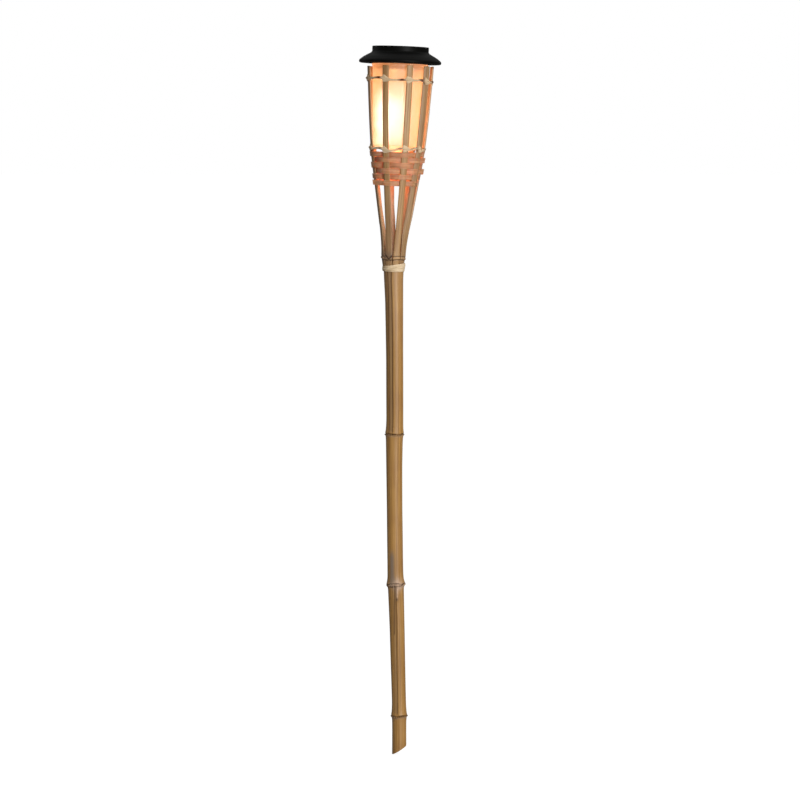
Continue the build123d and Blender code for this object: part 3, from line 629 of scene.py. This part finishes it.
for row in range(6):
    middle = strip_levels[row]
    parity = row % 2
    # The second and fourth strips end in a tail at the right, the lowest in one at the left, and the others
    # lap over their own start at the back.
    if row in (1, 3):
        start, end, tails = radians(78), radians(425), (0, (10 + row) * mm)
    elif row == 5:
        start, end, tails = radians(-38), radians(310), (15 * mm, 0)
    else:
        start, end, tails = radians(176), radians(176 + 402), (0, 0)
    turns = np.linspace(start, end, 380)
    reach = weave_reach(turns, middle, parity, 0.25 * mm, strip_thick)
    # Where the end laps over the start, it lies one thickness further out.
    reach += strip_thick * 1.15 * (1 / (1 + np.exp(-(turns - start - 2 * pi) / radians(3)))) * (row % 2 == 0)
    phase = rng.uniform(0, 2 * pi, 3)
    level = middle + 0.15 * mm * np.sin(turns + phase[0]) + 0.12 * mm * np.sin(3 * turns + phase[1])
    level += 0.95 * mm * (1 - np.cos(turns)) * (row == 5)
    level += 2.6 * mm * bump_at(signed_turn(turns - radians(95)), 0, 0.5) * (row == 0)
    out_x, out_y = reach * np.sin(turns), -reach * np.cos(turns)
    for at, tail in ((0, tails[0]), (-1, tails[1])):
        if tail:
            way = -1 if at == 0 else 1
            steps = np.linspace(0, tail, 26)[1:]
            ahead = way * np.array([np.cos(turns[at]), np.sin(turns[at])])
            bend = 0.10 * steps**2 / tail
            tail_x = out_x[at] + ahead[0] * steps + np.sin(turns[at]) * bend
            tail_y = out_y[at] + ahead[1] * steps - np.cos(turns[at]) * bend
            tail_path = np.stack([tail_x, tail_y, level[at] + 0.04 * steps])
            strip_path = np.stack([out_x, out_y, level])
            pieces = (tail_path[:, ::-1], strip_path) if at == 0 else (strip_path, tail_path)
            out_x, out_y, level = np.hstack(pieces)
    reach, turns = np.hypot(out_x, out_y), np.unwrap(np.arctan2(out_x, -out_y))
    rows = len(turns)
    tall_half = strip_talls[row] / 2 * (1 + 0.03 * np.sin(4 * turns + phase[2]))
    up_side = np.multiply.outer(tall_half, across)
    out_side = depth * strip_thick / 2 + 0.12 * mm * (across**2 - 0.5)
    radius = reach[:, None] + out_side * np.cos(slope) + up_side * np.sin(slope)
    height = level[:, None] + up_side * np.cos(slope) - out_side * np.sin(slope)
    points = on_head(np.repeat(turns[:, None], strip_columns, 1), radius, height)
    along = np.cumsum(np.hypot(np.diff(out_x, prepend=out_x[0]), np.diff(out_y, prepend=out_y[0])))
    along = np.repeat(along[:, None], strip_columns, 1) + row
    coordinates = np.stack([along, np.repeat(out_side[None], rows, 0), up_side], -1)
    strip = skin_mesh(f"rattan_strip_{row + 1}", points, coordinates, np.zeros_like(points))
    strip.data.materials.append(rattan)
    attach(strip, "pole")
    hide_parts(f"weave_strip_{row + 1}")

# ---------------------------------------------------------------- twined ties
# Two rings of raffia hold the staves apart. In each, two bundles of fibre twist round each other between the
# staves, and the bundle that passes in front of a stave fans out flat over it.

# Raffia is a dry, papery leaf fibre. It gives the eye matt, pale straw bundles with fine lines along them,
# and on the ties a painted shadow in dark brown just left of each stave, seen from outside.
raffia, tree, shader = finish("raffia_fibre", Roughness=0.75)
grain, masks = carried(tree)
streaks = drawn_out(tree, grain, (60.0, 1.5 / mm, 1.5 / mm), 2.0)
dry = [(0.32, "#b59871"), (0.5, "#dcc19a"), (0.72, "#f0dcbd")]
pale_tan = add(tree, "ValToRGB", {"Fac": streaks}, stops=dry)
# The painted stave shadow: dark brown where mask X is 1.
straw_with_painted_shadow = laid_over(tree, pale_tan.outputs[0], (masks["X"], "#5a2c16"))
tree.links.new(straw_with_painted_shadow, shader.inputs["Base Color"])
roughened(tree, shader, streaks, 0.1 * mm)

fibre_count, fibre_radius, twist_radius = 11, 0.5 * mm, 1.15 * mm
tube_columns = 6
fibre_sides = np.arange(tube_columns) * 2 * pi / tube_columns


def tube_points(path, radius):
    """A tube round a closed path in (radius, turn, height): its section lies across the path."""
    reach, turns, height = (np.asarray(line)[:, None] for line in path)
    across, up = (np.multiply.outer(radius, wave(fibre_sides)) for wave in (np.cos, np.sin))
    return on_head(np.repeat(turns, tube_columns, 1), reach + across, height + up)


def closed_tubes(name, tubes, coordinates, marks):
    """One piece made of several closed tubes, each a grid whose rows and columns both wrap."""
    parts = [skin_mesh(name, p, c, marks, closed_rows=True) for p, c in zip(tubes, coordinates)]
    with bpy.context.temp_override(active_object=parts[0], selected_editable_objects=parts):
        bpy.ops.object.join()
    parts[0].name = name
    return parts[0]


tie_rows = 44  # rows of a tube from one stave to the next
for tie, tie_height, tilt in (("lower_tie", 155.2 * mm, 0.2 * mm), ("upper_tie", 250.0 * mm, 1.5 * mm)):
    turns = np.linspace(0, 2 * pi, 8 * tie_rows, endpoint=False)
    nearest = stave_angles[np.abs(signed_turn(turns[:, None] - stave_angles)).argmin(1)]
    from_stave = signed_turn(turns - nearest)
    for strand, parity in (("a", 0), ("b", 1)):
        reach = weave_reach(turns, tie_height, parity, 0.2 * mm, 2 * fibre_radius)
        inside = weave_reach(turns, tie_height, 1 - parity, 0.2 * mm, 2 * fibre_radius)
        twist = np.clip((reach - inside) / (4.6 * mm), -1, 1)
        front = np.where(twist > 0, 1.0, 0.0)
        slant = np.where(from_stave < -0.08, 0.045, 0.18)
        fan = front * np.exp(-(((from_stave + 0.08) / slant) ** 2))
        wind = (1 - twist**2) * (1 if parity else -1) * np.sign(np.gradient(reach))
        drop = np.sin(pi * np.clip(from_stave / 0.4, -1, 1)) * (1.0 if tie == "lower_tie" else 0.5) * mm
        level = tie_height - tilt * np.sin(turns) + 0.8 * mm * wind - drop
        if tie == "lower_tie":
            level -= 2.2 * mm * bump_at(signed_turn(turns - stave_angles[1]), 0, 0.35)
        tubes, coordinates = [], []
        for fibre in range(fibre_count):
            place = 2 * fibre / (fibre_count - 1) - 1
            round_it = 2 * pi * fibre / fibre_count + 6 * turns
            fray = rng.uniform(-0.2, 0.2) * mm * np.sin(5 * turns + rng.uniform(0, 6))
            height = level + fan * (4.5 * mm * place + fray) + (1 - fan) * twist_radius * np.sin(round_it)
            out = reach + (1 - fan) * twist_radius * np.cos(round_it) - fan * 0.4 * mm * place**2
            tubes.append(tube_points((out, turns, height), fibre_radius * (1.0 + 0.05 * fan)))
            line = np.repeat((turns * reach)[:, None], tube_columns, 1)
            ring = np.multiply.outer(np.ones_like(turns), fibre_sides) * fibre_radius
            coordinates.append(np.stack([line + fibre, ring, ring * 0], -1))
        # Painted shadow: mask X darkens each bundle just left of each stave, seen from outside; weaker on the
        # lower tie.
        if tie == "upper_tie":
            stain_and_shade = bump_at(from_stave, -0.24, 0.1)
        else:
            stain_and_shade = 0.5 * bump_at(from_stave, -0.2, 0.08)
        marks = np.multiply.outer(stain_and_shade, np.ones(tube_columns))[..., None] * np.array([1.0, 0, 0])
        bundle = closed_tubes(f"{tie}_raffia_{strand}", tubes, coordinates, marks)
        bundle.data.materials.append(raffia)
        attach(bundle, "pole")
        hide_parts(f"{tie}_strand_{strand}")

# ---------------------------------------------------------------- neck binding
# Three laps of one flat raffia ribbon bind the cane under the splits. The outer laps run at a slant, a fold
# crosses the front, and the end is left standing out a little.

lap_count, lap_half_width, lap_thickness, lap_columns = 3.15, 3.1 * mm, 0.5 * mm, 28
lap_radius, ribbon_shift = 15, 0.9 * mm
turns = np.linspace(0, 2 * pi * lap_count, 420) + radians(70)
laps = (turns - turns[0]) / (2 * pi)
level = np.interp(laps, [0, 0.9, 1.6, 2.2, lap_count], np.array([-12.5, -12.4, -10.9, -9.1, -9.0]) * mm)
slanted = np.interp(laps, [0, 0.9, 1.6, 2.2, lap_count], [0, 0, 1.2, 2.5, 2.5])
level += slanted * mm * np.sin(turns)
reach = 14.85 * mm + 0.33 * mm * laps + 1.3 * mm * np.clip((laps - lap_count + 0.05) / 0.05, 0, 1) ** 2
across, depth = rounded_outline(lap_columns, 5)
up_side = np.multiply.outer(np.full_like(turns, lap_half_width), across)
fold = bump_at(across * lap_half_width - 0.9 * mm * np.sin(turns[:, None]), 0, 0.5 * mm)
crease = 0.45 * mm * fold * np.sin(2.5 * turns[:, None] + 1)
crease += 0.1 * mm * np.sin(9 * across + 3 * laps[:, None])
radius = reach[:, None] + depth * lap_thickness / 2 + crease - 0.25 * mm * across**2
points = on_head(np.repeat(turns[:, None], lap_columns, 1), radius, level[:, None] + up_side)
points += ribbon_shift * head_right
line = np.repeat((turns * lap_radius * mm)[:, None], lap_columns, 1)
coordinates = np.stack([line, np.repeat((depth * lap_thickness)[None], len(turns), 0), up_side], -1)
ribbon = skin_mesh("raffia_neck_binding", points, coordinates, np.zeros_like(points))
ribbon.data.materials.append(raffia)
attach(ribbon, "pole")
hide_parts("neck_binding")

# ---------------------------------------------------------------- frosted lantern
# The lantern is a tapered cup of frosted polypropylene, moulded with a domed bottom and a rolled rim. It
# rests in the basket on the lower tie. Its glow is a painted amber emission on its outside, and soft lamps
# inside it stand in for the lamp under the cap.


def rounded_profile(corners, step, reach):
    """An outline through corners, resampled at a step and averaged along its length, which rounds them."""
    corners = np.array(corners) * mm
    run = np.concatenate([[0], np.cumsum(np.hypot(*np.diff(corners, axis=0).T))])
    fine = np.linspace(0, run[-1], int(run[-1] / step) + 2)
    return np.stack([spread(np.interp(fine, run, corners[:, k]), reach) for k in (0, 1)], -1)


def turned(name, profile, columns=128, marked=0.0):
    """A solid of revolution: a profile of (radius, height) carried round the full turn of the head's axis."""
    round_it = np.arange(columns) * 2 * pi / columns
    radius = np.repeat(np.maximum(profile[:, :1], 0.3 * mm), columns, 1)
    height = np.repeat(profile[:, 1:], columns, 1)
    points = on_head(np.repeat(round_it[None], len(profile), 0), radius, height)
    straight = np.stack([radius * np.sin(round_it), -radius * np.cos(round_it), height], -1)
    marks = np.zeros_like(points)
    marks[..., 0] = np.reshape(marked, (-1, 1))
    return skin_mesh(name, points, straight, marks)


cup_wall = 1.2
dome = [(0, 149.5), (10, 150.2), (20, 152.4), (27, 154.8), (33.1, 157.5)]
outside = dome + [(34.6, 159.2), (38.0, 268), (38.9, 268.8), (38.9, 272), (36.7, 272)]
inside = [(36.8, 266), (33.4, 160.0)] + [(max(r - cup_wall, 0), u + cup_wall) for r, u in dome[::-1]]
cup_profile = rounded_profile(outside + inside, 0.5 * mm, 1)
past_rim = np.arange(len(cup_profile)) > cup_profile[:, 1].argmax()
cup = turned("frosted_lantern", cup_profile, marked=past_rim * 1.0)

# Frosted polypropylene is translucent and slightly milky. It gives the eye a glow that is white in the middle
# and left of it, where the lamps inside shine through, and amber towards the edges, the top and the bottom. The
# amber is a painted glow, an emission colour that runs with height, and only the outside carries it.
frosted, tree, shader = finish(
    "frosted_polypropylene",
    Roughness=0.5,
    IOR=1.45,
    Transmission_Weight=0.93,
    Emission_Strength=0.5,
)
grain, masks = carried(tree)
head_height = add(tree, "SeparateXYZ", {0: grain}).outputs["Z"]
share = add(tree, "MapRange", {"Value": head_height, "From Min": 150 * mm, "From Max": 272 * mm})
# Painted glow: the amber emission colour by height along the lantern, black on the cup's inside.
painted_glow_stops = [(0.0, "#ff9a4c"), (0.15, "#ffa650"), (0.5, "#ffa850"), (0.85, "#ffa85c"), (1.0, "#ff9c58")]
painted_amber_glow = add(tree, "ValToRGB", {"Fac": share.outputs[0]}, stops=painted_glow_stops)
painted_outer_glow = laid_over(tree, painted_amber_glow.outputs[0], (masks["X"], "#000000"))
tree.links.new(painted_outer_glow, shader.inputs["Emission Color"])
clouds_per_metre, pits_per_mm = 55.0, 0.8  # pits are drawn coarser than real frosting, so that they show
place = add(tree, "TexCoord").outputs["Object"]
milky = add(tree, "TexNoise", {"Vector": place, "Scale": clouds_per_metre, "Detail": 2.0})
cloudy = add(tree, "ValToRGB", {"Fac": milky.outputs["Fac"]}, stops=[(0.3, "#f8f4ec"), (0.7, "#fffdf8")])
tree.links.new(cloudy.outputs[0], shader.inputs["Base Color"])
pits = add(tree, "TexNoise", {"Vector": place, "Scale": pits_per_mm / mm, "Detail": 1.0})
roughened(tree, shader, pits.outputs["Fac"], 0.05 * mm, 0.3)
cup.data.materials.append(frosted)
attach(cup, "lantern")
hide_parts("diffuser")



def glow_lamp(name, colour, radius, power, side, height):
    """A soft round lamp on the lantern's body, to one side of the head's axis at a height above the neck."""
    lamp = bpy.data.lights.new(name, "POINT")
    lamp.shadow_soft_size = radius * mm
    lamp.color = linear(colour)[:3]
    lamp.energy = power
    glow_object = bpy.data.objects.new(name, lamp)
    glow_object.parent = frame["bodies"]["lantern"]
    glow_object.location = neck + height * mm * head_up + side * mm * head_right
    bpy.context.scene.collection.objects.link(glow_object)


# The glow itself: two columns of soft white lamps, one just left of the lantern's axis and one near its left
# wall, and a warm one that shines up through the basket. All are carried with the lantern.
for side, radius, column in (
    (-7, 23, ((168, 0.0061), (188, 0.0098), (207, 0.0115), (227, 0.0058))),
    (-22, 11, ((168, 0.0042), (188, 0.0065), (208, 0.0075), (226, 0.003))),
):
    for height, power in column:
        glow_lamp("lantern_glow", "#ffecf2", radius, power, side, height)
glow_lamp("basket_glow", "#ff8440", radius=12, power=0.05, side=0, height=130)

# ---------------------------------------------------------------- cap shell
# The cap is moulded in black ABS: a sloped roof with a thick rolled brim, an upright ring round the solar
# cell's recess, and a skirt that plugs into the lantern.

# Its outline, as (radius, height above the neck) in millimetres.
roof = [(39.3, 288.8), (40.6, 287.2), (42.7, 285.9), (46.5, 283.9), (51.0, 281.3), (55.3, 278.0)]
brim = [(57.0, 276.2), (57.2, 274.6), (56.6, 273.2), (55.3, 272.5), (53.4, 272.9)]
top = [(0, 293.5), (36.4, 293.5), (36.4, 295.9), (39.3, 295.9)]
under = [(40.9, 283), (39.4, 283), (39.4, 273.4), (35.9, 273.4), (35.9, 264), (34.1, 264)]
under += [(34.1, 291.5), (0, 291.5)]
cap_columns, profile_step = 144, 0.25 * mm
shell = turned("cap_moulding", rounded_profile(top + roof + brim + under, profile_step, 2), cap_columns)


def moulded(name, colour, rough, grain_size, depth, gloss=0.5):
    """A moulded plastic or rubber: an even colour, with a fine spark-eroded grain of a size and depth."""
    made, tree, shader = finish(name, Roughness=rough, Specular_IOR_Level=gloss)
    place = add(tree, "TexCoord").outputs["Object"]
    cells = add(tree, "TexNoise", {"Vector": place, "Scale": 1 / grain_size, "Detail": 2.0})
    dark = linear(colour)
    light = (*(min(1.0, channel * 1.35 + 0.002) for channel in dark[:3]), 1.0)
    mottled = laid_over(tree, dark, (cells.outputs["Fac"], light))
    tree.links.new(mottled, shader.inputs["Base Color"])
    gloss_range = {"Value": cells.outputs["Fac"], "To Min": rough - 0.05, "To Max": rough + 0.08}
    dull = add(tree, "MapRange", gloss_range)
    tree.links.new(dull.outputs[0], shader.inputs["Roughness"])
    roughened(tree, shader, cells.outputs["Fac"], depth)
    return made


# Satin black ABS: near black, with a soft wide sheen on edges that face the light.
black_abs = moulded("black_abs", "#040403", 0.45, 0.5 * mm, 0.02 * mm, gloss=0.08)
shell.data.materials.append(black_abs)
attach(shell, "cap")
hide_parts("cap_shell")


def clothe(material, *nodes):
    """Gives CAD nodes a material in every slot."""
    for node in nodes:
        for slot in frame["nodes"][node].material_slots:
            slot.material = material


clothe(black_abs, "base_plate", "battery_bay", "battery_door")

# ---------------------------------------------------------------- solar cell
# The panel on the cap's deck is silicon laminated under clear resin, and is stuck down on its seal tape. The
# silicon is printed with thin silver fingers and wide busbars.

# Resin over silicon gives the eye a hard clear gloss over a dark blue, with faint crystals and silver lines.
finger_pitch, finger_width, bar_pitch, bar_width, crystal = 2.0 * mm, 0.22 * mm, 24.0 * mm, 1.4 * mm, 5 * mm
cell, tree, shader = finish("silicon_under_resin", Roughness=0.35, Coat_Weight=1.0, Coat_Roughness=0.04)
level_turn = (0.0, -float(np.arctan2(head_up[0], head_up[2])), 0.0)
flat = add(tree, "Mapping", {"Vector": add(tree, "TexCoord").outputs["Object"], "Rotation": level_turn})
spot = add(tree, "SeparateXYZ", {0: flat.outputs[0]})


def stripes(tree, along, pitch, width):
    """1 on lines of a width at every pitch, else 0: the coordinate's distance to its nearest line, compared."""
    wave = add(tree, "Math", {0: along, 1: pitch / 2}, operation="PINGPONG")
    return add(tree, "Math", {0: wave.outputs[0], 1: width / 2}, operation="LESS_THAN").outputs[0]


fingers = stripes(tree, spot.outputs["X"], finger_pitch, finger_width)
bars = stripes(tree, spot.outputs["Y"], bar_pitch, bar_width)
metal = add(tree, "Math", {0: fingers, 1: bars}, operation="MAXIMUM")
crystals = add(tree, "TexVoronoi", {"Vector": flat.outputs[0], "Scale": 1 / crystal})
grains = add(tree, "SeparateXYZ", {0: crystals.outputs["Color"]})
silicon = add(tree, "ValToRGB", {"Fac": grains.outputs["X"]}, stops=[(0.0, "#0b1024"), (1.0, "#16204a")])
printed = laid_over(tree, silicon.outputs[0], (metal.outputs[0], "#8f959c"))
tree.links.new(printed, shader.inputs["Base Color"])
clothe(cell, "solar_panel")

# ---------------------------------------------------------------- seals
# The gasket between cap and lantern and the tape under the panel are black foam rubber, cut from sheet and
# stuck on.

# Foam rubber gives the eye a dull, slightly pitted black.
clothe(moulded("foam_rubber", "#1b1b1b", 0.85, 0.7 * mm, 0.1 * mm), "rim_gasket", "panel_seal")

# ---------------------------------------------------------------- screws, contacts, spring and switch can
# Four zinc-plated screws hold the base plate. The cell's contact and spring and the switch's can are pressed
# or wound from nickel-plated spring steel. Plating gives the eye a bright metal with fine brushed lines.


def plated(name, colour, rough):
    """A plated steel: metallic, with a fine brushed grain that varies its gloss."""
    made, tree, shader = finish(name, Metallic=1.0, Roughness=rough)
    scratch_length, scratch_width = 5 * mm, 0.25 * mm
    place = add(tree, "TexCoord").outputs["Object"]
    scratches = drawn_out(tree, place, (1 / scratch_length, 1 / scratch_width, 1 / scratch_width), 2.0)
    dull = add(tree, "MapRange", {"Value": scratches, "To Min": rough - 0.08, "To Max": rough + 0.12})
    tree.links.new(dull.outputs[0], shader.inputs["Roughness"])
    dark, light = (tuple(c * k for c in linear(colour)[:3]) + (1.0,) for k in (0.85, 1.0))
    tree.links.new(laid_over(tree, dark, (scratches, light)), shader.inputs["Base Color"])
    return made


clothe(plated("zinc_plate", "#c9ccd0", 0.3), "base_screws")
clothe(plated("nickel_plate", "#d8d4cb", 0.22), "battery_contact", "battery_spring", "switch_case")

# ---------------------------------------------------------------- battery, board, LED, knob and wires
# The cap holds a cell in a plain green shrink sleeve, a green laminate board, a clear epoxy LED that glows, a
# white knob and four wires in PVC. They are soldered, clipped or plugged in place.

clothe(moulded("shrink_sleeve", "#2f6b4d", 0.3, 2.0 * mm, 0.02 * mm), "battery")
clothe(moulded("solder_mask", "#0f4a2a", 0.35, 0.4 * mm, 0.03 * mm), "circuit_board")
clothe(moulded("white_abs", "#dcdcd6", 0.4, 0.5 * mm, 0.02 * mm), "switch_knob")
clothe(moulded("red_pvc", "#a5130f", 0.35, 0.5 * mm, 0.01 * mm), "panel_wire_red", "battery_wire_red")
clothe(moulded("black_pvc", "#141414", 0.35, 0.5 * mm, 0.01 * mm), "panel_wire_black", "battery_wire_black")
# Clear epoxy gives the eye a glossy drop, lit warm white from within.
epoxy, tree, shader = finish(
    "led_epoxy",
    Roughness=0.08,
    IOR=1.52,
    Transmission_Weight=0.6,
    Emission_Strength=1.5,
)
place = add(tree, "TexCoord").outputs["Object"]
haze = add(tree, "TexNoise", {"Vector": place, "Scale": 600.0, "Detail": 1.0})
lit = add(tree, "ValToRGB", {"Fac": haze.outputs["Fac"]}, stops=[(0.3, "#ffcf8a"), (0.7, "#ffe9bf")])
tree.links.new(lit.outputs[0], shader.inputs["Emission Color"])
tree.links.new(lit.outputs[0], shader.inputs["Base Color"])
clothe(epoxy, "led")
